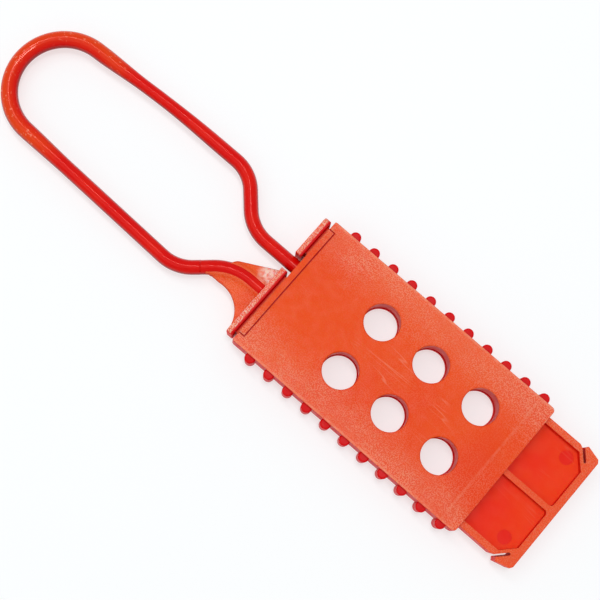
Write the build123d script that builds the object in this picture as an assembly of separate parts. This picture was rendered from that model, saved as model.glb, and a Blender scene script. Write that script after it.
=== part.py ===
from build123d import *
import os
from math import atan2, cos, degrees, radians, sin

# Six-hole nylon lockout hasp, lying on its back. Millimetres.
# +X points to the shackle loop, +Z out of the front face, and Z = 0 is the back face.
# The origin is under the middle of the overall length and width.
# An outer sleeve slides along a flat inner carriage. The carriage carries the shackle:
# one leg is moulded to its head flange, the other drops into a notch in that flange,
# where the closed sleeve covers its foot.

# Padlock holes: three along the length, two across
HOLE_DIAMETER = 9.5
HOLE_PITCH = 16.25
HOLE_MIDDLE_X = -43.4
THICKNESS = 9.5
MID_Z = THICKNESS / 2

# Outer sleeve
SLEEVE_LENGTH = 73.2
SLEEVE_WIDTH = 40.2
SLEEVE_HEAD_X = -1.4
SLEEVE_TAIL_X = SLEEVE_HEAD_X - SLEEVE_LENGTH
SIDE_DRAFT = 0.25
FACE_WALL = 1.3
SIDE_WALL = 1.6
EDGE_ROUND = 0.35
TAIL_CORNER_ROUND = 1.1
HEAD_CORNER_ROUND = 0.4
HOLE_CHAMFER = 0.25
RIB_COUNT = 11
RIB_PITCH = 6.29
RIB_FIRST_X = -70.7
RIB_RADIUS = 1.45
RIB_STAND_OUT = 1.9
RIB_LENGTH = 7.1
RIB_END_ROUND = 0.5
LIP_WIDTH = 34.6
LIP_LENGTH = 1.6
LIP_RISE = 0.15
LIP_GROOVE = 0.35
LIP_GROOVE_DEPTH = 0.55
TAIL_BAND_LENGTH = 4.7
TAIL_BAND_STEP = 0.12

# Inner carriage: head flange and tray
TRAY_CLEARANCE = 0.2
TRAY_THICKNESS = THICKNESS - 2 * FACE_WALL - 2 * TRAY_CLEARANCE
TRAY_WIDTH = 35.8
TRAY_TAIL_X = -91.4
FLANGE_GAP = 0.8
FLANGE_BACK_X = SLEEVE_HEAD_X + FLANGE_GAP
FLANGE_THICKNESS = 1.9
FLANGE_FRONT_X = FLANGE_BACK_X + FLANGE_THICKNESS
FLANGE_WIDTH = 38.8
FLANGE_END_ROUND = 1.5
FLANGE_EDGE_ROUND = 0.3
TRAY_EDGE_ROUND = 0.25
RIM = 1.8
TAIL_RIM = 2.0
RIDGE = 1.5
HEAD_BLOCK_LENGTH = 6.3
FLOOR_THICKNESS = 1.6
POCKET_CORNER = 1.0
BOSS_BORE_RADIUS = 5.0
BOSS_RADIUS = 6.4
EJECTOR_MARK_RADIUS = 1.9
EJECTOR_MARK_DEPTH = 0.15
EJECTOR_MARKS = ((-84.7, -13.2), (-85.4, 12.4))

# Retaining barbs on the tray's tail corners; x runs from the tail's end, y from the middle
BARB_NECK = ((6.5, 17.9), (5.3, 17.4))
BARB_TIP = (4.45, 18.75)
BARB_BACK = (0.6, 17.75)
BARB_CORNER = (0.0, 16.9)
BARB_SLIT = ((6.3, 18.7), (2.85, 15.05))
BARB_SLIT_WIDTH = 0.7

# Shackle rod: the free leg lies on the -Y side, the fixed leg on the +Y side
FREE_LEG_Y = -5.1
FIXED_LEG_Y = 5.2
ROD_RADIUS = 1.95
END_ROD_RADIUS = 2.3
TAPER_LENGTH = 14.0
END_ARC_CENTRE = (75.0, -0.3)
END_ARC_RADIUS = 14.1
FREE_CORNERS = ((14.1, FREE_LEG_Y), (24.4, -16.2), (48.6, -16.15))
FREE_BENDS = (11.5, 10.8, 260.0)
FIXED_CORNERS = ((10.9, FIXED_LEG_Y), (22.2, 15.35))
FIXED_BENDS = (14.0, 11.4)

# Foot of the free leg, and the notch and foot pocket that take it
FOOT_TIP_X = -2.7
FOOT_LENGTH = 1.3
FOOT_WIDTH = 6.6
FOOT_HEIGHT = 3.2
FOOT_ROUND = 0.4
NOTCH_LOW_Y = -7.45
NOTCH_HIGH_Y = -2.1
FOOT_POCKET_LOW_Y = -9.0
FOOT_POCKET_HIGH_Y = -1.0
FOOT_POCKET_CLEARANCE = 0.6

# Gusset web beside the fixed leg
WEB_THICKNESS = 1.6
WEB_INNER_ROOT_Y = -1.9
WEB_INNER_TIP = (11.2, 3.4)
WEB_OUTER_TIP = (14.2, 12.0)
WEB_OUTER_MIDDLE = (9.4, 10.95)
WEB_OUTER_ROOT_Y = 18.2

# Twisting neck: the shackle turns here about a line through the fixed leg's root
NECK_X = 8.6
NECK_Y = 7.4
NECK_AXIS_ANGLE = 16.7
NECK_GAP = 0.3


def hole_places():
    """Centres of the six padlock holes."""
    columns = [HOLE_MIDDLE_X + i * HOLE_PITCH for i in (-1, 0, 1)]
    return [(x, side * HOLE_PITCH / 2) for x in columns for side in (-1, 1)]


def block(x0, x1, y0, y1, z0, z1):
    """A box between two corners."""
    centre = Location(((x0 + x1) / 2, (y0 + y1) / 2, (z0 + z1) / 2))
    return centre * Box(x1 - x0, y1 - y0, z1 - z0)


def upright_cylinder(x, y, radius, z0, z1):
    """A cylinder along Z between two heights."""
    return Location((x, y, (z0 + z1) / 2)) * Cylinder(radius, z1 - z0)


def drill(solid, radius):
    """The solid with a clear hole at each padlock place."""
    for x, y in hole_places():
        solid -= upright_cylinder(x, y, radius, -1, THICKNESS + 1)
    return solid


def upright_edges(solid, x):
    """The edges of a solid that stand up at one end, at this x."""
    standing = solid.edges().filter_by(lambda e: abs(e.tangent_at(0.5).Z) > 0.9)
    return standing.filter_by(lambda e: abs(e.center().X - x) < 0.01)


def level_edges(solid, z):
    """The edges of a solid that lie level at one height."""
    return solid.edges().filter_by(lambda e: abs(e.bounding_box().min.Z - z) + abs(e.bounding_box().max.Z - z) < 0.01)


def sleeve_shell():
    """The sleeve's outside, with its two sides drafted from a middle line."""
    half = SLEEVE_WIDTH / 2
    outline = [(-half, 0), (half, 0), (half + SIDE_DRAFT, MID_Z), (half, THICKNESS),
               (-half, THICKNESS), (-half - SIDE_DRAFT, MID_Z)]
    profile = Plane.YZ.offset(SLEEVE_TAIL_X) * make_face(Polyline(*outline, close=True))
    shell = extrude(profile, amount=SLEEVE_LENGTH)
    for x, radius in ((SLEEVE_TAIL_X, TAIL_CORNER_ROUND), (SLEEVE_HEAD_X, HEAD_CORNER_ROUND)):
        shell = fillet(upright_edges(shell, x), radius)
    for z in (0, THICKNESS):
        shell = fillet(level_edges(shell, z), EDGE_ROUND)
    return shell


def grip_rib(x, side):
    """One half-round rib on a side of the sleeve."""
    y = side * (SLEEVE_WIDTH / 2 + RIB_STAND_OUT - RIB_RADIUS)
    rib = upright_cylinder(x, y, RIB_RADIUS, MID_Z - RIB_LENGTH / 2, MID_Z + RIB_LENGTH / 2)
    return fillet(rib.edges().filter_by(GeomType.CIRCLE), RIB_END_ROUND)


def outer_sleeve():
    """The sliding sleeve: an open-ended box with six holes, grip ribs and a head lip."""
    sleeve = sleeve_shell()
    for i in range(RIB_COUNT):
        for side in (-1, 1):
            sleeve += grip_rib(RIB_FIRST_X + i * RIB_PITCH, side)
    inner = SLEEVE_WIDTH / 2 - SIDE_WALL
    sleeve -= block(SLEEVE_TAIL_X - 1, SLEEVE_HEAD_X + 1, -inner, inner, FACE_WALL, THICKNESS - FACE_WALL)
    # a shallow step across both faces sets off the tail band
    band_x = SLEEVE_TAIL_X + TAIL_BAND_LENGTH
    wide = SLEEVE_WIDTH
    for z0, z1 in ((-1, TAIL_BAND_STEP), (THICKNESS - TAIL_BAND_STEP, THICKNESS + 1)):
        sleeve -= block(SLEEVE_TAIL_X - 1, band_x, -wide, wide, z0, z1)
    # the head lip stands in a groove on three sides
    lip_x = SLEEVE_HEAD_X - LIP_LENGTH
    lip_half = LIP_WIDTH / 2
    groove_z = THICKNESS - LIP_GROOVE_DEPTH
    sleeve -= block(lip_x - LIP_GROOVE, SLEEVE_HEAD_X + 1, -lip_half - LIP_GROOVE, lip_half + LIP_GROOVE,
                    groove_z, THICKNESS + 1)
    sleeve += block(lip_x, SLEEVE_HEAD_X, -lip_half, lip_half, groove_z, THICKNESS + LIP_RISE)
    sleeve = drill(sleeve, HOLE_DIAMETER / 2)
    rims = sleeve.edges().filter_by(GeomType.CIRCLE).filter_by(lambda e: abs(e.radius - HOLE_DIAMETER / 2) < 0.01)
    outside = [e for e in rims if e.center().Z < 0.1 or e.center().Z > THICKNESS - 0.1]
    return chamfer(outside, HOLE_CHAMFER)


def tray_outline():
    """The tray's plan: straight sides, and a retaining barb on each tail corner."""
    corner = [BARB_NECK[0], BARB_NECK[1], BARB_TIP, BARB_BACK, BARB_CORNER]
    upper = [(TRAY_TAIL_X + x, y) for x, y in corner]
    points = [(FLANGE_BACK_X, TRAY_WIDTH / 2)] + upper
    points += [(x, -y) for x, y in reversed(points)]
    return make_face(Polyline(*points, close=True))


def pocket_cells():
    """Plan boxes of the tray's pockets on the +Y side, as (x0, x1) pairs."""
    walls = [HOLE_MIDDLE_X + i * HOLE_PITCH for i in (-1.5, -0.5, 0.5, 1.5)]
    starts = [TRAY_TAIL_X + TAIL_RIM] + [x + RIDGE / 2 for x in walls]
    stops = [x - RIDGE / 2 for x in walls] + [FLANGE_BACK_X - HEAD_BLOCK_LENGTH]
    return list(zip(starts, stops))


def pockets(z0, z1):
    """Everything that is cored out of one face of the tray."""
    y0 = RIDGE / 2
    y1 = TRAY_WIDTH / 2 - RIM
    cut = None
    for x0, x1 in pocket_cells():
        for side in (-1, 1):
            cell = RectangleRounded(x1 - x0, y1 - y0, POCKET_CORNER)
            cell = Location(((x0 + x1) / 2, side * (y0 + y1) / 2, z0)) * cell
            cell = extrude(cell, amount=z1 - z0, dir=(0, 0, 1))
            cut = cell if cut is None else cut + cell
    for x, y in hole_places():
        cut -= upright_cylinder(x, y, BOSS_RADIUS, z0 - 1, z1 + 1)
    for side in (-1, 1):
        cut -= barb_root(side, z0 - 1, z1 + 1)
    return cut


def barb_root(side, z0, z1):
    """The solid corner that each pocket leaves round a barb's slit."""
    corner = [(0, 17.0), (8.0, 17.0), (5.6, 16.2), (2.0, 12.4), (0, 12.4)]
    plan = make_face(Polyline(*[(TRAY_TAIL_X + x, side * y) for x, y in corner], close=True))
    return extrude(Location((0, 0, z0)) * plan, amount=z1 - z0, dir=(0, 0, 1))


def barb_slit(side):
    """The slanted slit that lets a barb spring in."""
    (xa, ya), (xb, yb) = BARB_SLIT
    start = Vector(TRAY_TAIL_X + xa, side * ya)
    stop = Vector(TRAY_TAIL_X + xb, side * yb)
    plan = SlotCenterToCenter((stop - start).length, BARB_SLIT_WIDTH)
    middle = (start + stop) * 0.5
    turn = degrees(atan2(stop.Y - start.Y, stop.X - start.X))
    plan = Location((middle.X, middle.Y, -1), (0, 0, turn)) * plan
    return extrude(plan, amount=THICKNESS + 2, dir=(0, 0, 1))


def inner_carriage():
    """The moulded carriage: head flange with the leg notch, and the cored tray."""
    z0 = FACE_WALL + TRAY_CLEARANCE
    z1 = z0 + TRAY_THICKNESS
    tray = extrude(Location((0, 0, z0)) * tray_outline(), amount=TRAY_THICKNESS, dir=(0, 0, 1))
    tray = fillet(level_edges(tray, z0) + level_edges(tray, z1), TRAY_EDGE_ROUND)
    floor_top = MID_Z + FLOOR_THICKNESS / 2
    floor_bottom = MID_Z - FLOOR_THICKNESS / 2
    tray -= pockets(floor_top, z1 + 1)
    tray -= pockets(z0 - 1, floor_bottom)
    for x, y in EJECTOR_MARKS:
        tray -= upright_cylinder(x, y, EJECTOR_MARK_RADIUS, floor_top - EJECTOR_MARK_DEPTH, z1 + 1)
    for side in (-1, 1):
        tray -= barb_slit(side)
    tray = drill(tray, BOSS_BORE_RADIUS)
    flange = block(FLANGE_BACK_X, FLANGE_FRONT_X, -FLANGE_WIDTH / 2, FLANGE_WIDTH / 2, 0, THICKNESS)
    flange = fillet(flange.edges().filter_by(Axis.X), FLANGE_END_ROUND)
    flange = fillet(flange.faces().filter_by(Axis.X).edges(), FLANGE_EDGE_ROUND)
    carriage = flange + tray
    carriage -= block(FLANGE_BACK_X - 1, FLANGE_FRONT_X + 1, NOTCH_LOW_Y, NOTCH_HIGH_Y, -1, THICKNESS + 1)
    carriage -= block(FOOT_TIP_X - FOOT_POCKET_CLEARANCE, FLANGE_BACK_X, FOOT_POCKET_LOW_Y, FOOT_POCKET_HIGH_Y,
                      -1, THICKNESS + 1)
    return carriage


def tangent_point(outside, side):
    """Where the line from a point touches the end arc, on the given side."""
    centre = Vector(*END_ARC_CENTRE)
    reach = centre - Vector(*outside)
    run = (reach.length ** 2 - END_ARC_RADIUS ** 2) ** 0.5
    # the radius to the touching point makes a right angle with the line
    along = reach * (END_ARC_RADIUS ** 2 / reach.length ** 2)
    across = Vector(-reach.Y, reach.X) * (side * END_ARC_RADIUS * run / reach.length ** 2)
    return centre - along + across


def rod(path, radius):
    """A round rod swept along a path at mid-thickness."""
    section = Plane(origin=path @ 0, z_dir=path % 0) * Circle(radius)
    return sweep(section, path=path)


def at_mid_z(point):
    """A plan point raised to mid-thickness."""
    return (point[0], point[1], MID_Z)


def straight_side(start, corners, bends, touch):
    """The rod from a leg to the taper, and the taper up to the end arc."""
    last = Vector(*at_mid_z(corners[-1]))
    touch = Vector(touch.X, touch.Y, MID_Z)
    toward = (touch - last).normalized()
    taper_start = touch - toward * TAPER_LENGTH
    points = [at_mid_z(start)] + [at_mid_z(c) for c in corners] + [taper_start]
    side = rod(FilletPolyline(*points, radius=list(bends)), ROD_RADIUS)
    lead = Plane(origin=taper_start, z_dir=toward)
    mouth = Plane(origin=touch, z_dir=toward)
    taper = loft([lead * Circle(ROD_RADIUS), mouth * Circle(END_ROD_RADIUS)])
    return side + taper


def gusset_web():
    """The thin web that joins the fixed leg to the head flange."""
    inner_root = (FLANGE_FRONT_X, WEB_INNER_ROOT_Y)
    outer_root = (FLANGE_FRONT_X, WEB_OUTER_ROOT_Y)
    under_leg = (WEB_OUTER_TIP[0] + 0.8, WEB_OUTER_TIP[1] - 1.8)
    outline = Polyline(outer_root, inner_root, WEB_INNER_TIP, under_leg, WEB_OUTER_TIP)
    outline += ThreePointArc(WEB_OUTER_TIP, WEB_OUTER_MIDDLE, outer_root)
    web = extrude(make_face(outline), amount=WEB_THICKNESS, dir=(0, 0, 1))
    return Location((0, 0, MID_Z - WEB_THICKNESS / 2)) * web


def free_foot():
    """The cross-head on the free leg's tip."""
    foot = block(FOOT_TIP_X, FOOT_TIP_X + FOOT_LENGTH, FREE_LEG_Y - FOOT_WIDTH / 2, FREE_LEG_Y + FOOT_WIDTH / 2,
                 MID_Z - FOOT_HEIGHT / 2, MID_Z + FOOT_HEIGHT / 2)
    return fillet(foot.edges(), FOOT_ROUND)


def shackle():
    """The shackle's two pieces: the gusseted anchor and the loop that twists from it."""
    free_touch = tangent_point(FREE_CORNERS[-1], -1)
    fixed_touch = tangent_point(FIXED_CORNERS[-1], 1)
    free_side = straight_side((FOOT_TIP_X + FOOT_LENGTH / 2, FREE_LEG_Y), FREE_CORNERS, FREE_BENDS, free_touch)
    fixed_side = straight_side((FLANGE_FRONT_X, FIXED_LEG_Y), FIXED_CORNERS, FIXED_BENDS, fixed_touch)
    far_point = (END_ARC_CENTRE[0] + END_ARC_RADIUS, END_ARC_CENTRE[1], MID_Z)
    end_arc = ThreePointArc(at_mid_z((free_touch.X, free_touch.Y)), far_point,
                            at_mid_z((fixed_touch.X, fixed_touch.Y)))
    fixed_side += gusset_web()
    turn = radians(NECK_AXIS_ANGLE)
    axis = Vector(cos(turn), sin(turn), 0)
    neck = Vector(NECK_X, NECK_Y, MID_Z)
    anchor = split(fixed_side, bisect_by=Plane(origin=neck, z_dir=axis), keep=Keep.BOTTOM)
    above = split(fixed_side, bisect_by=Plane(origin=neck + axis * NECK_GAP, z_dir=axis), keep=Keep.TOP)
    loop = free_foot() + free_side + rod(end_arc, END_ROD_RADIUS) + above
    return anchor, loop


os.makedirs("parts", exist_ok=True)
shackle_anchor, shackle_loop = shackle()
pieces = {
    "outer_sleeve": outer_sleeve(),
    "inner_carriage": inner_carriage(),
    "shackle_anchor": shackle_anchor,
    "shackle_loop": shackle_loop,
}
for name, solid in pieces.items():
    export_step(solid, f"parts/{name}.step")
    print(name, len(solid.solids()), "solid", round(solid.volume, 1), "mm3")
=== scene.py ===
import math

import bmesh
import bpy
from mathutils import Matrix, Vector


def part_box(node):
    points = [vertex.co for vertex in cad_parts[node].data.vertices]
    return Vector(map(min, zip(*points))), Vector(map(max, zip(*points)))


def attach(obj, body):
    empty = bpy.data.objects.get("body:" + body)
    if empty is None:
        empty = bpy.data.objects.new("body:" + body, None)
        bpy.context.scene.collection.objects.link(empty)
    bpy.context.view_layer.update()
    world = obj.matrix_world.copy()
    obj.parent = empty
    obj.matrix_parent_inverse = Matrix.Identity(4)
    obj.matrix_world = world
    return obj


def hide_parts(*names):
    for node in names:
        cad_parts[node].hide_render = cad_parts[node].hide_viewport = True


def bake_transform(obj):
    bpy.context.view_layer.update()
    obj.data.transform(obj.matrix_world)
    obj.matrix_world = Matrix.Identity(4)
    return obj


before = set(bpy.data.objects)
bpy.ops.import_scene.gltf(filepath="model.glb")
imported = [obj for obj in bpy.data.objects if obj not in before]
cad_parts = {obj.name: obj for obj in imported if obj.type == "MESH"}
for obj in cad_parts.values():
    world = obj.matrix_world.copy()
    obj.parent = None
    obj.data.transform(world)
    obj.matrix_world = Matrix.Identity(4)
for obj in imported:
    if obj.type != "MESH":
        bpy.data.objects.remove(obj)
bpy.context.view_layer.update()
FLANGE_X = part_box("shackle_anchor")[0][0]

# Metres, in the CAD frame: +X to the shackle loop, +Z out of the front face.
MM = 0.001
MID_Z = 4.75 * MM

# Shackle rod: corners of its centre line and the radius of each bend, as the CAD part has them
FREE_CORNERS = [(14.1 * MM, -5.1 * MM), (24.4 * MM, -16.2 * MM), (48.6 * MM, -16.15 * MM)]
FREE_BENDS = [11.5 * MM, 10.8 * MM, 260 * MM]
FIXED_CORNERS = [(10.9 * MM, 5.2 * MM), (22.2 * MM, 15.35 * MM)]
FIXED_BENDS = [14 * MM, 11.4 * MM]
FREE_TIP = (-2.05 * MM, -5.1 * MM)
END_CENTRE = (75 * MM, -0.3 * MM)
END_RADIUS = 14.1 * MM
LEG_RADIUS = 1.95 * MM
THIN_RADIUS = 1.72 * MM
END_ROD_RADIUS = 2.28 * MM
# Where along X the rod grows stout, and where its free side grows thin and stops being thin
STOUT_FROM = (60 * MM, 76 * MM)
THIN_FROM = (34 * MM, 54 * MM)
THIN_UNTIL = (60 * MM, 74 * MM)
FLASH_HEIGHT = 0.05 * MM
ROD_STEP = 0.7 * MM
ROD_SIDES = 48

# Gusset web
WEB_HALF_THICKNESS = 0.8 * MM
WEB_ROOT_LOW_Y = -1.9 * MM
WEB_INNER_TIP = (11.2 * MM, 3.4 * MM)
WEB_TIP_X = 17 * MM
WEB_ARC_CENTRE = (9.86 * MM, 19.28 * MM)
WEB_ARC_RADIUS = 8.43 * MM
WEB_FILLET = 0.55 * MM
WEB_FILLET_REACH = 0.45 * MM
WEB_FILLET_FALLOFF = 1.2
WEB_EDGE_ROUNDING = 0.5 * MM
WEB_STATIONS = 44
WEB_COLUMNS = 56
# Where along X the web's inner and outer edge run into the leg, and how far past the leg's middle
# the outer one ends
WEB_INNER_MERGE = (11 * MM, 14 * MM)
WEB_OUTER_MERGE = (11 * MM, 17.2 * MM)
WEB_OUTER_REACH = 2 * MM

# Foot of the free leg: half its size, how square its outline is, and how slim it is at its two ends
FOOT_HALF = (0.65 * MM, 3.3 * MM, 1.6 * MM)
FOOT_SQUARENESS = 0.35
FOOT_END_SHARE = 0.55
FOOT_RINGS = 24
FOOT_SIDES = 32

# The sleeve's side walls end here and the ribs begin, and its tail band is this long
RIB_START_Y = 20.1 * MM
TAIL_BAND = 4.7 * MM

# Everything on the sleeve nearer to the mid-plane than this is inside, or the floor of the lip's groove,
# and gets painted shade
GROOVE_HEIGHT = 4.35 * MM

# Middles of the two ejector marks in the tray's pockets
EJECTOR_MARKS = [(-84.7 * MM, -13.2 * MM), (-85.4 * MM, 12.4 * MM)]

# Middle of the painted highlight, a pale glare on the web, by its inner root
GLARE_MIDDLE = (2.6 * MM, 0.9 * MM)

# The floor lies this far under the back face, so that the two never share a plane
FLOOR_GAP = 0.05 * MM
FLOOR_HALF = 3.0
FLOOR_GLOW = 0.58
WORLD_STRENGTH = 0.5

# Where the shackle's root starts and stops twisting when the leg lifts
TWIST_END_X = 15.4 * MM

# The fixed leg ends inside the bow, just past where the twist ends: where the bow starts, how many more
# points the leg runs on, and how much slimmer it is there
SEAM_X = TWIST_END_X + 1.5 * MM
SEAM_OVERLAP = 4
SEAM_GAP = 0.03 * MM


# ---------------------------------------------------------------- shapes

def loft(name, rings, material):
    """A closed skin through rings of equal length: smooth sides, and a flat cap at both ends."""
    count = len(rings[0])
    last = (len(rings) - 1) * count
    vertices = [tuple(point) for ring in rings for point in ring]
    faces = []
    for start in range(0, last, count):
        for j in range(count):
            k = (j + 1) % count
            faces.append((start + j, start + k, start + count + k, start + count + j))
    sides = len(faces)
    for start, step in ((0, -1), (last, 1)):
        hub = len(vertices)
        ring = [Vector(v) for v in vertices[start:start + count]]
        vertices.append(tuple(sum(ring, Vector()) / count))
        for j in range(count):
            faces.append((hub, start + j, start + (j + 1) % count)[::step])
    mesh = bpy.data.meshes.new(name)
    mesh.from_pydata(vertices, [], faces)
    mesh.polygons.foreach_set("use_smooth", [i < sides for i in range(len(faces))])
    mesh.materials.append(material)
    tidy = bmesh.new()
    tidy.from_mesh(mesh)
    bmesh.ops.recalc_face_normals(tidy, faces=tidy.faces)
    tidy.to_mesh(mesh)
    tidy.free()
    keep_rest_shape(mesh)
    piece = bpy.data.objects.new(name, mesh)
    bpy.context.collection.objects.link(piece)
    return piece


def keep_rest_shape(mesh):
    """Stores each point's place and each corner's normal, so that a bent piece keeps its own pattern."""
    place = mesh.attributes.new("rest_place", "FLOAT_VECTOR", "POINT")
    place.data.foreach_set("vector", [c for v in mesh.vertices for c in v.co])
    normal = mesh.attributes.new("rest_normal", "FLOAT_VECTOR", "CORNER")
    normal.data.foreach_set("vector", [c for n in mesh.corner_normals for c in n.vector])


def rounded_line(points, bends, step):
    """Points along straight runs with a tangent arc at each inner corner."""
    points = [Vector(p) for p in points]
    out = [points[0]]
    for before, corner, after, radius in zip(points, points[1:], points[2:], bends):
        arrive = (corner - before).normalized()
        leave = (after - corner).normalized()
        turn = arrive.angle_signed(leave) * -1
        reach = radius * math.tan(abs(turn) / 2)
        side = Vector((-arrive.y, arrive.x)) * math.copysign(radius, turn)
        start = corner - arrive * reach
        centre = start + side
        run(out, start, step)
        steps = max(4, math.ceil(radius * abs(turn) / step))
        for i in range(1, steps + 1):
            a = turn * i / steps
            spoke = start - centre
            turned = Vector((spoke.x * math.cos(a) - spoke.y * math.sin(a),
                             spoke.x * math.sin(a) + spoke.y * math.cos(a)))
            out.append(centre + turned)
    run(out, points[-1], step)
    return out


def run(out, stop, step):
    """Adds evenly spaced points from the last one to stop."""
    start = out[-1]
    steps = max(1, math.ceil((stop - start).length / step))
    out += [start.lerp(stop, i / steps) for i in range(1, steps + 1)]


def touch_point(outside, side):
    """Where the line from a point touches the end arc, on the given side."""
    reach = Vector(END_CENTRE) - Vector(outside)
    span = math.sqrt(reach.length_squared - END_RADIUS ** 2)
    along = reach * (END_RADIUS ** 2 / reach.length_squared)
    across = Vector((-reach.y, reach.x)) * (side * END_RADIUS * span / reach.length_squared)
    return Vector(END_CENTRE) - along + across


def rod_rings(line, radius_at):
    """Round rings along a level line, with the fine flash ridge of the mould on both sides."""
    rings = []
    for i, point in enumerate(line):
        ahead = line[min(i + 1, len(line) - 1)] - line[max(i - 1, 0)]
        across = Vector((-ahead.y, ahead.x)).normalized()
        radius = radius_at(point)
        ring = []
        for j in range(ROD_SIDES):
            a = 2 * math.pi * j / ROD_SIDES
            ridge = FLASH_HEIGHT if j % (ROD_SIDES // 2) == 0 else 0
            out = (radius - FLASH_HEIGHT + ridge) * math.cos(a)
            height = MID_Z + radius * math.sin(a)
            ring.append((point.x + across.x * out, point.y + across.y * out, height))
        rings.append(ring)
    return rings


def smooth(value, low, high):
    """0 below low, 1 above high, and an even curve between."""
    t = min(1, max(0, (value - low) / (high - low)))
    return t * t * (3 - 2 * t)


def rod_radius(point):
    """The rod's radius at a plan point: thin along the free side, stout round the end."""
    end = smooth(point.x, *STOUT_FROM)
    radius = LEG_RADIUS + (END_ROD_RADIUS - LEG_RADIUS) * end
    if point.y < 0:
        dip = smooth(point.x, *THIN_FROM) * (1 - smooth(point.x, *THIN_UNTIL))
        radius -= (LEG_RADIUS - THIN_RADIUS) * dip
    return radius


def leg_radius(point):
    """The fixed leg's radius: the rod's, but a hair less where its end sits inside the bow."""
    return rod_radius(point) - SEAM_GAP * smooth(point.x, TWIST_END_X, TWIST_END_X + 2 * MM)


def shackle_lines():
    """Centre lines of the rod: the long bow from the free tip, and the fixed leg's root."""
    free_touch = touch_point(FREE_CORNERS[-1], -1)
    fixed_touch = touch_point(FIXED_CORNERS[-1], 1)
    bow = rounded_line([FREE_TIP, *FREE_CORNERS, free_touch], FREE_BENDS, ROD_STEP)
    start = math.atan2(free_touch.y - END_CENTRE[1], free_touch.x - END_CENTRE[0])
    stop = math.atan2(fixed_touch.y - END_CENTRE[1], fixed_touch.x - END_CENTRE[0])
    steps = math.ceil(END_RADIUS * (stop - start) / ROD_STEP)
    for i in range(1, steps + 1):
        a = start + (stop - start) * i / steps
        bow.append(Vector(END_CENTRE) + Vector((math.cos(a), math.sin(a))) * END_RADIUS)
    root = (FLANGE_X, FIXED_CORNERS[0][1])
    fixed = rounded_line([root, *FIXED_CORNERS, fixed_touch], FIXED_BENDS, ROD_STEP)
    seam = next(i for i, p in enumerate(fixed) if p.x > SEAM_X)
    bow += reversed(fixed[seam:-1])
    return bow, fixed[:seam + SEAM_OVERLAP]


def web_edges(x, leg_line):
    """The web's inner and outer edge at one distance from the flange. Both run into the leg at the tip."""
    leg_y = min(leg_line, key=lambda p: abs(p.x - x)).y
    t = (x - FLANGE_X) / (WEB_INNER_TIP[0] - FLANGE_X)
    inner = WEB_ROOT_LOW_Y + t * (WEB_INNER_TIP[1] - WEB_ROOT_LOW_Y)
    inner += (leg_y - inner) * smooth(x, *WEB_INNER_MERGE)
    drop = math.sqrt(max(0, WEB_ARC_RADIUS ** 2 - (x - WEB_ARC_CENTRE[0]) ** 2))
    outer = WEB_ARC_CENTRE[1] - drop
    outer += (leg_y + WEB_OUTER_REACH - outer) * smooth(x, *WEB_OUTER_MERGE)
    return inner, outer


def gusset_web(material, leg_line):
    """The thin web on both sides of the fixed leg, swelling into it with a small fillet."""
    rings = []
    for i in range(WEB_STATIONS + 1):
        x = FLANGE_X + (WEB_TIP_X - FLANGE_X) * i / WEB_STATIONS
        inner, outer = web_edges(x, leg_line)
        ring = []
        for side, columns in ((1, range(WEB_COLUMNS + 1)), (-1, range(WEB_COLUMNS - 1, 0, -1))):
            for j in columns:
                y = inner + (outer - inner) * j / WEB_COLUMNS
                to_edge = min(y - inner, outer - y)
                rounding = math.sqrt(max(0, 1 - (1 - min(1, to_edge / WEB_EDGE_ROUNDING)) ** 2))
                from_leg = min((Vector((x, y)) - p).length for p in leg_line) - LEG_RADIUS
                swell = WEB_FILLET * math.exp(-(max(0, from_leg) / WEB_FILLET_REACH) ** WEB_FILLET_FALLOFF)
                ring.append((x, y, MID_Z + side * rounding * (WEB_HALF_THICKNESS + swell)))
        rings.append(ring)
    return loft("gusset_web", rings, material)


def free_foot(material):
    """The cross-head that hooks behind the head flange."""
    low = Vector(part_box("shackle_loop")[0])
    half_x, half_y, half_z = FOOT_HALF
    middle = Vector((low.x + half_x, FREE_TIP[1], MID_Z))
    rings = []
    for i in range(FOOT_RINGS + 1):
        t = -1 + 2 * i / FOOT_RINGS
        swell = (1 - abs(t) ** 6) ** (1 / 3)
        shrink = FOOT_END_SHARE + (1 - FOOT_END_SHARE) * swell
        ring = []
        for j in range(FOOT_SIDES):
            a = 2 * math.pi * j / FOOT_SIDES
            c, s = math.cos(a), math.sin(a)
            x = math.copysign(abs(c) ** FOOT_SQUARENESS, c) * half_x * shrink
            z = math.copysign(abs(s) ** FOOT_SQUARENESS, s) * half_z * shrink
            ring.append((middle.x + x, middle.y + t * half_y, middle.z + z))
        rings.append(ring)
    return loft("free_leg_foot", rings, material)


# ---------------------------------------------------------------- materials

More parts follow.
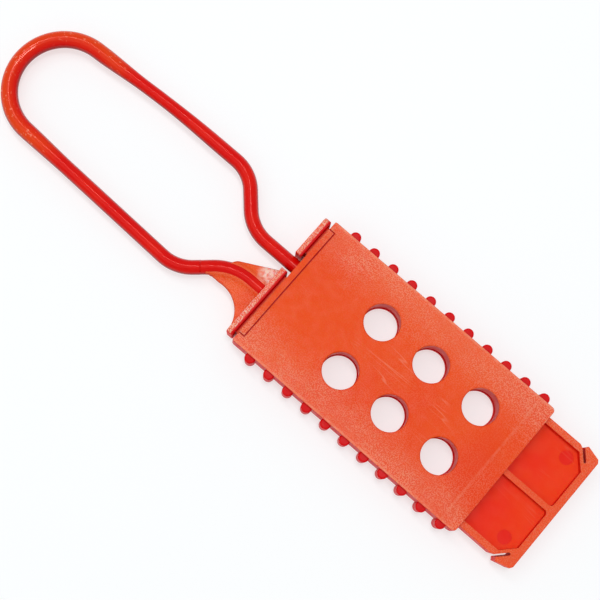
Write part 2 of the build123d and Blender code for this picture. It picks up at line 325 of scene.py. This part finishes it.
class Nodes:
    """A material's node tree, with short calls for the nodes used here.

    A bending piece takes its places and normals from those stored on its mesh at rest.
    """

    def __init__(self, name, bends=False):
        self.bends = bends
        self.material = bpy.data.materials.new(name)
        self.material.use_nodes = True
        self.tree = self.material.node_tree
        self.shader = self.tree.nodes["Principled BSDF"]

    def add(self, kind, **settings):
        node = self.tree.nodes.new(kind)
        for key, value in settings.items():
            setattr(node, key, value)
        return node

    def link(self, source, target):
        self.tree.links.new(source, target)

    def place(self):
        return self.surface("rest_place", "Object")

    def normal(self):
        return self.surface("rest_normal", "Normal")

    def surface(self, attribute, coordinate):
        if self.bends:
            return self.add("ShaderNodeAttribute", attribute_name=attribute).outputs["Vector"]
        return self.add("ShaderNodeTexCoord").outputs[coordinate]

    def noise(self, scale, detail=3.0, roughness=0.55, vector=None):
        node = self.add("ShaderNodeTexNoise")
        node.inputs["Scale"].default_value = scale
        node.inputs["Detail"].default_value = detail
        node.inputs["Roughness"].default_value = roughness
        self.link(vector or self.place(), node.inputs["Vector"])
        return node.outputs["Fac"]

    def remap(self, value, low, high, to_low=0.0, to_high=1.0):
        node = self.add("ShaderNodeMapRange", interpolation_type="SMOOTHSTEP")
        node.inputs["From Min"].default_value = low
        node.inputs["From Max"].default_value = high
        node.inputs["To Min"].default_value = to_low
        node.inputs["To Max"].default_value = to_high
        self.link(value, node.inputs["Value"])
        return node.outputs["Result"]

    def math(self, operation, a, b=None):
        node = self.add("ShaderNodeMath", operation=operation)
        for socket, value in zip(node.inputs, (a, b)):
            if value is None:
                continue
            if isinstance(value, (int, float)):
                socket.default_value = value
            else:
                self.link(value, socket)
        return node.outputs[0]

    def mix(self, factor, a, b):
        node = self.add("ShaderNodeMix", data_type="RGBA")
        self.link(factor, node.inputs["Factor"])
        for socket, value in ((node.inputs[6], a), (node.inputs[7], b)):
            if isinstance(value, tuple):
                socket.default_value = (*value, 1)
            else:
                self.link(value, socket)
        return node.outputs[2]

    def axis(self, vector, name):
        node = self.add("ShaderNodeSeparateXYZ")
        self.link(vector, node.inputs[0])
        return node.outputs[name]

    def bump(self, height, strength, distance):
        node = self.add("ShaderNodeBump")
        node.inputs["Strength"].default_value = strength
        node.inputs["Distance"].default_value = distance
        self.link(height, node.inputs["Height"])
        self.link(node.outputs["Normal"], self.shader.inputs["Normal"])


def linear(red, green, blue):
    """An 8-bit sRGB colour as linear values."""
    def channel(value):
        value /= 255
        return value / 12.92 if value <= 0.04045 else ((value + 0.055) / 1.055) ** 2.4
    return channel(red), channel(green), channel(blue)


def nylon_body(n, clarity, specular):
    """The settings that every nylon here shares: a soft inner glow and a modest sheen."""
    n.shader.inputs["IOR"].default_value = 1.5
    n.shader.inputs["Specular IOR Level"].default_value = specular
    n.shader.inputs["Subsurface Weight"].default_value = clarity
    n.shader.inputs["Subsurface Radius"].default_value = (1.0, 0.16, 0.05)
    n.shader.inputs["Subsurface Scale"].default_value = 1.6 * MM


def scratches(n, vector):
    """Fine, sparse, slightly curved hairlines, from 0 to 1."""
    layers = []
    for turn, spread in ((0.5, 260), (2.3, 210)):
        turned = n.add("ShaderNodeMapping")
        turned.inputs["Rotation"].default_value = (0, 0, turn)
        turned.inputs["Scale"].default_value = (0.06, 1, 1)
        n.link(vector, turned.inputs["Vector"])
        line = n.noise(spread, 1, 0.4, turned.outputs["Vector"])
        thin = n.remap(n.math("ABSOLUTE", n.math("SUBTRACT", line, 0.5)), 0.0, 0.006, 1.0, 0.0)
        layers.append(n.math("MULTIPLY", thin, n.remap(n.noise(70, 2, 0.5), 0.5, 0.62)))
    return n.math("MAXIMUM", *layers)


def speckles(n, amount):
    """The bright grains of a spark-eroded face, in uneven patches, from 0 to the amount."""
    fine = n.remap(n.noise(3600, 1, 0.5), 0.44, 0.6)
    patches = n.remap(n.noise(60, 3, 0.5), 0.38, 0.62, 0.45, 1.0)
    return n.math("MULTIPLY", n.math("MULTIPLY", fine, amount), patches)


def edge_highlight(n, place):
    """Painted highlight lines along the sleeve's long edges and, faintly, its tail band, from 0 to 1."""
    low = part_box("outer_sleeve")[0]
    across = n.math("ABSOLUTE", n.axis(place, "Y"))
    lines = n.remap(across, RIB_START_Y - 0.9 * MM, RIB_START_Y - 0.3 * MM)
    away = n.math("ABSOLUTE", n.math("SUBTRACT", n.axis(place, "X"), low[0] + TAIL_BAND))
    lines = n.math("MAXIMUM", lines, n.remap(away, 0.1 * MM, 0.5 * MM, 0.4, 0.0))
    return n.math("MULTIPLY", lines, n.remap(n.noise(700, 3, 0.6), 0.36, 0.6, 0.3, 1.0))


def finish_moulding(n, base, side, grain):
    """Gives the base colour to the faces and a deeper one to the side walls, then the common surface. The
    deeper walls are partly their smoother finish and partly painted shade.
    """
    flatness = n.math("ABSOLUTE", n.axis(n.normal(), "Z"))
    n.link(n.mix(n.remap(flatness, 0.3, 0.75), side, base), n.shader.inputs["Base Color"])
    n.link(n.remap(n.noise(400, 3), 0.3, 0.7, 0.4, 0.55), n.shader.inputs["Roughness"])
    n.bump(n.noise(2600, 2, 0.6), grain, 0.06 * MM)
    nylon_body(n, 0.4, 0.14)
    return n.material


def sleeve_nylon():
    """Orange faces, grainier and paler toward the edges as grain and painted sheen, with hairline
    scratches, painted highlight lines along the edges, and ribs painted deep red as shade.
    """
    n = Nodes("sleeve_nylon")
    place = n.place()
    across = n.math("ABSOLUTE", n.axis(place, "Y"))
    base = n.mix(n.remap(n.noise(28, 2, 0.5), 0.38, 0.62), FACE, FACE_DEEP)
    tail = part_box("outer_sleeve")[0][0]
    band = n.remap(n.axis(place, "X"), tail + TAIL_BAND - 0.3 * MM, tail + TAIL_BAND + 0.1 * MM, 0.4, 0.0)
    # Speckle grows toward the long edges as painted sheen, and over the tail band as grain.
    grain_and_sheen = n.math("MAXIMUM", n.remap(across, 5 * MM, 19 * MM, 0.15, 0.85), band)
    base = n.mix(speckles(n, grain_and_sheen), base, SPECKLE_AND_SHEEN)
    # Painted sheen: the face turns paler toward its long edges.
    base = n.mix(n.remap(across, 9 * MM, 19.5 * MM, 0.0, 0.15), base, SPECKLE_AND_SHEEN)
    base = n.mix(n.math("MULTIPLY", scratches(n, place), 0.4), base, SPECKLE_AND_SHEEN)
    # Painted highlight along the long edges and the tail band's edge.
    base = n.mix(n.math("MULTIPLY", edge_highlight(n, place), 0.7), base, SPECKLE_AND_SHEEN)
    # Painted shade: the ribs beyond the side walls are painted deep red.
    base = n.mix(n.remap(across, RIB_START_Y - 0.1 * MM, RIB_START_Y + 0.1 * MM), base, SIDE_SHADE)
    # Painted shade: everything nearer the mid-plane than GROOVE_HEIGHT, the inside and the lip groove's
    # floor, turns deep red.
    height = n.math("ABSOLUTE", n.math("SUBTRACT", n.axis(place, "Z"), MID_Z))
    base = n.mix(n.remap(height, GROOVE_HEIGHT, GROOVE_HEIGHT + 0.1 * MM), SIDE_SHADE, base)
    return finish_moulding(n, base, SIDE_SHADE, 0.4)


def carriage_nylon():
    """Redder pockets with ejector marks and painted shade near the sleeve, orange rims, a deep red band of
    painted shade before the head flange, and a pale grainy head flange.
    """
    n = Nodes("carriage_nylon")
    place = n.place()
    along = n.axis(place, "X")
    height = n.math("ABSOLUTE", n.math("SUBTRACT", n.axis(place, "Z"), MID_Z))
    # Painted shade: the pockets turn redder toward the sleeve and more orange toward the tail.
    pocket = n.mix(n.remap(along, -92 * MM, -75 * MM), TRAY_TAIL, TRAY)
    pocket = n.mix(n.remap(n.noise(110, 3, 0.5), 0.42, 0.65, 0.0, 0.5), pocket, TRAY_TAIL)
    level = n.add("ShaderNodeCombineXYZ")
    n.link(along, level.inputs["X"])
    n.link(n.axis(place, "Y"), level.inputs["Y"])
    for x, y in EJECTOR_MARKS:
        away = n.add("ShaderNodeVectorMath", operation="DISTANCE")
        away.inputs[1].default_value = (x, y, 0)
        n.link(level.outputs[0], away.inputs[0])
        pocket = n.mix(n.remap(away.outputs["Value"], 1.6 * MM, 2.1 * MM, 0.75, 0.0), pocket, MARK)
    rim = n.remap(height, 2.2 * MM, 2.8 * MM)
    base = n.mix(n.math("MULTIPLY", rim, 0.9), pocket, RIM)
    base = n.mix(speckles(n, n.math("MULTIPLY", rim, 0.45)), base, SPECKLE_AND_SHEEN)
    # Painted shade: a deep red band across the gap between the sleeve's mouth and the head flange.
    head = n.remap(along, -1.2 * MM, -0.8 * MM)
    base = n.mix(head, base, SIDE_SHADE)
    face = n.remap(along, -0.1 * MM, 0.15 * MM)
    base = n.mix(face, base, FLANGE)
    base = n.mix(speckles(n, face), base, FLANGE_SPECKLE)
    base = n.mix(n.math("MULTIPLY", scratches(n, place), 0.15), base, SPECKLE_AND_SHEEN)
    return finish_moulding(n, base, TRAY_SIDE_SHADE, 0.25)


def web_nylon():
    """The thin web: orange and grainy, with a painted highlight, a pale glare, by its inner root."""
    n = Nodes("web_nylon", bends=True)
    base = n.mix(n.remap(n.noise(200, 3, 0.5), 0.38, 0.62), WEB, WEB_DEEP)
    away = n.add("ShaderNodeVectorMath", operation="DISTANCE")
    away.inputs[1].default_value = (*GLARE_MIDDLE, MID_Z)
    n.link(n.place(), away.inputs[0])
    # Painted highlight: a pale glare by the web's inner root, broken up by noise.
    painted_glare = n.remap(away.outputs["Value"], 1.2 * MM, 4.2 * MM, 0.95, 0.0)
    painted_glare = n.math("MULTIPLY", painted_glare, n.remap(n.noise(900, 3, 0.6), 0.36, 0.58, 0.3, 1.0))
    base = n.mix(speckles(n, 0.4), base, SPECKLE_AND_SHEEN)
    base = n.mix(painted_glare, base, WEB_GLARE)
    return finish_moulding(n, base, WEB_SIDE_SHADE, 0.25)


def rod_nylon():
    """The smooth rod: deep red and glossy, darker down its sides as painted shade, and orange round the
    end as painted light, with a few painted glints there.
    """
    n = Nodes("rod_nylon", bends=True)
    place = n.place()
    base = n.mix(n.remap(n.noise(120, 4, 0.6), 0.4, 0.7), ROD, ROD_LIT)
    outward = n.add("ShaderNodeVectorMath", operation="SUBTRACT")
    outward.inputs[1].default_value = (*END_CENTRE, MID_Z)
    n.link(place, outward.inputs[0])
    reach = n.add("ShaderNodeVectorMath", operation="LENGTH")
    n.link(outward.outputs[0], reach.inputs[0])
    # Painted light: orange on the outer side of the end arc, with a few painted glints.
    beyond = n.remap(reach.outputs["Value"], END_RADIUS - 2.2 * MM, END_RADIUS + 1.8 * MM)
    lit_end = n.math("MULTIPLY", n.remap(n.axis(place, "X"), 62 * MM, 74 * MM), beyond)
    base = n.mix(n.math("MULTIPLY", lit_end, 0.85), base, ROD_END_LIGHT)
    glints = n.math("MULTIPLY", n.remap(n.noise(1100, 1, 0.4), 0.66, 0.72, 0.0, 0.7), lit_end)
    base = n.mix(glints, base, SPECKLE_AND_SHEEN)
    # Painted shade: the rod turns darker down its sides, where its normal leans from upright.
    upright = n.math("ABSOLUTE", n.axis(n.normal(), "Z"))
    base = n.mix(n.remap(upright, 0.15, 0.7, 0.9, 0.0), base, ROD_SIDE_SHADE)
    n.link(base, n.shader.inputs["Base Color"])
    n.link(n.remap(n.noise(500, 3), 0.35, 0.7, 0.1, 0.2), n.shader.inputs["Roughness"])
    n.bump(n.noise(900, 2), 0.1, 0.05 * MM)
    nylon_body(n, 0.0, 0.4)
    n.shader.inputs["Specular Tint"].default_value = (1, 0.45, 0.4, 1)
    return n.material


def floor_material():
    """Pale paper with a little light of its own, as on a light table, so that shadows stay faint."""
    n = Nodes("pale_paper")
    tone = n.mix(n.noise(6, 2), PAPER, PAPER_LIGHT)
    n.link(tone, n.shader.inputs["Base Color"])
    n.shader.inputs["Roughness"].default_value = 0.9
    n.shader.inputs["Specular IOR Level"].default_value = 0.1
    n.shader.inputs["Emission Color"].default_value = (1, 1, 1, 1)
    n.shader.inputs["Emission Strength"].default_value = FLOOR_GLOW
    return n.material


# ---------------------------------------------------------------- stage

def pale_floor():
    """A large pale floor under the hasp."""
    corners = [(x * FLOOR_HALF, y * FLOOR_HALF, 0) for x, y in ((-1, -1), (1, -1), (1, 1), (-1, 1))]
    mesh = bpy.data.meshes.new("floor")
    mesh.from_pydata(corners, [], [(0, 1, 2, 3)])
    mesh.materials.append(floor_material())
    floor = bpy.data.objects.new("floor", mesh)
    floor.location.z = -FLOOR_GAP
    bpy.context.collection.objects.link(floor)


def soft_light(name, place, width, depth, power):
    """A level rectangular light that shines straight down."""
    lamp = bpy.data.lights.new(name, "AREA")
    lamp.shape = "RECTANGLE"
    lamp.size = width
    lamp.size_y = depth
    lamp.energy = power
    light = bpy.data.objects.new(name, lamp)
    light.location = place
    bpy.context.collection.objects.link(light)


def studio():
    """Bright even surroundings, a key light, a strip that draws a line along the rod, and a fill."""
    world = bpy.data.worlds.new("studio")
    world.use_nodes = True
    surroundings = world.node_tree.nodes["Background"]
    surroundings.inputs["Color"].default_value = (1, 1, 1, 1)
    surroundings.inputs["Strength"].default_value = WORLD_STRENGTH
    bpy.context.scene.world = world
    soft_light("key", (-0.02, -0.06, 0.75), width=0.1, depth=0.1, power=1.2)
    soft_light("strip", (0.25, -0.12, 0.75), width=0.5, depth=0.03, power=1.0)
    soft_light("fill", (0.3, 0.4, 0.9), width=0.9, depth=0.9, power=1.5)


def photo_camera():
    """A long lens nearly square on to the front face, turned so that the hasp lies across the frame."""
    lens = bpy.data.cameras.new("camera")
    lens.lens = 80.4
    lens.sensor_width = 36
    lens.clip_start = 0.01
    camera = bpy.data.objects.new("camera", lens)
    place = Vector((-30.78, 46.38, 344.68)) * MM
    aim = Vector((-7.38, 0.63, 4.75)) * MM
    up = Vector((0.6517, -0.7444, 0.145))
    back = (place - aim).normalized()
    right = up.cross(back).normalized()
    up = back.cross(right)
    camera.matrix_world = Matrix.Translation(place) @ Matrix((right, up, back)).transposed().to_4x4()
    bpy.context.collection.objects.link(camera)
    bpy.context.scene.camera = camera


# ---------------------------------------------------------------- the hasp

FACE = linear(240, 78, 4)
FACE_DEEP = linear(236, 64, 4)
SIDE_SHADE = linear(214, 4, 12)
SPECKLE_AND_SHEEN = linear(246, 150, 118)
TRAY = linear(240, 40, 6)
TRAY_TAIL = linear(242, 66, 8)
TRAY_SIDE_SHADE = linear(224, 26, 8)
MARK = linear(232, 18, 14)
RIM = linear(236, 84, 36)
FLANGE = linear(236, 92, 60)
FLANGE_SPECKLE = linear(250, 196, 176)
WEB = linear(238, 88, 26)
WEB_DEEP = linear(232, 76, 20)
WEB_SIDE_SHADE = linear(206, 60, 20)
WEB_GLARE = linear(246, 222, 210)
ROD = linear(220, 8, 6)
ROD_LIT = linear(226, 24, 8)
ROD_END_LIGHT = linear(232, 72, 20)
ROD_SIDE_SHADE = linear(140, 0, 6)
PAPER = linear(172, 176, 178)
PAPER_LIGHT = linear(176, 180, 182)

photo_camera()
pale_floor()
studio()
bpy.context.scene.view_settings.view_transform = "Standard"

sleeve_look = sleeve_nylon()
carriage_look = carriage_nylon()
web_look = web_nylon()
rod_look = rod_nylon()

for node, look in (("outer_sleeve", sleeve_look), ("inner_carriage", carriage_look)):
    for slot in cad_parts[node].material_slots:
        slot.material = look

bow_line, leg_line = shackle_lines()
bow = loft("shackle_bow", rod_rings(bow_line, rod_radius), rod_look)
foot = free_foot(rod_look)
for piece in (bow, foot):
    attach(piece, "shackle")
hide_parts("shackle_loop")

leg = loft("fixed_leg", rod_rings(leg_line, leg_radius), rod_look)
web = gusset_web(web_look, leg_line)
for piece in (leg, web):
    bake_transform(piece)
    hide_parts("shackle_anchor")
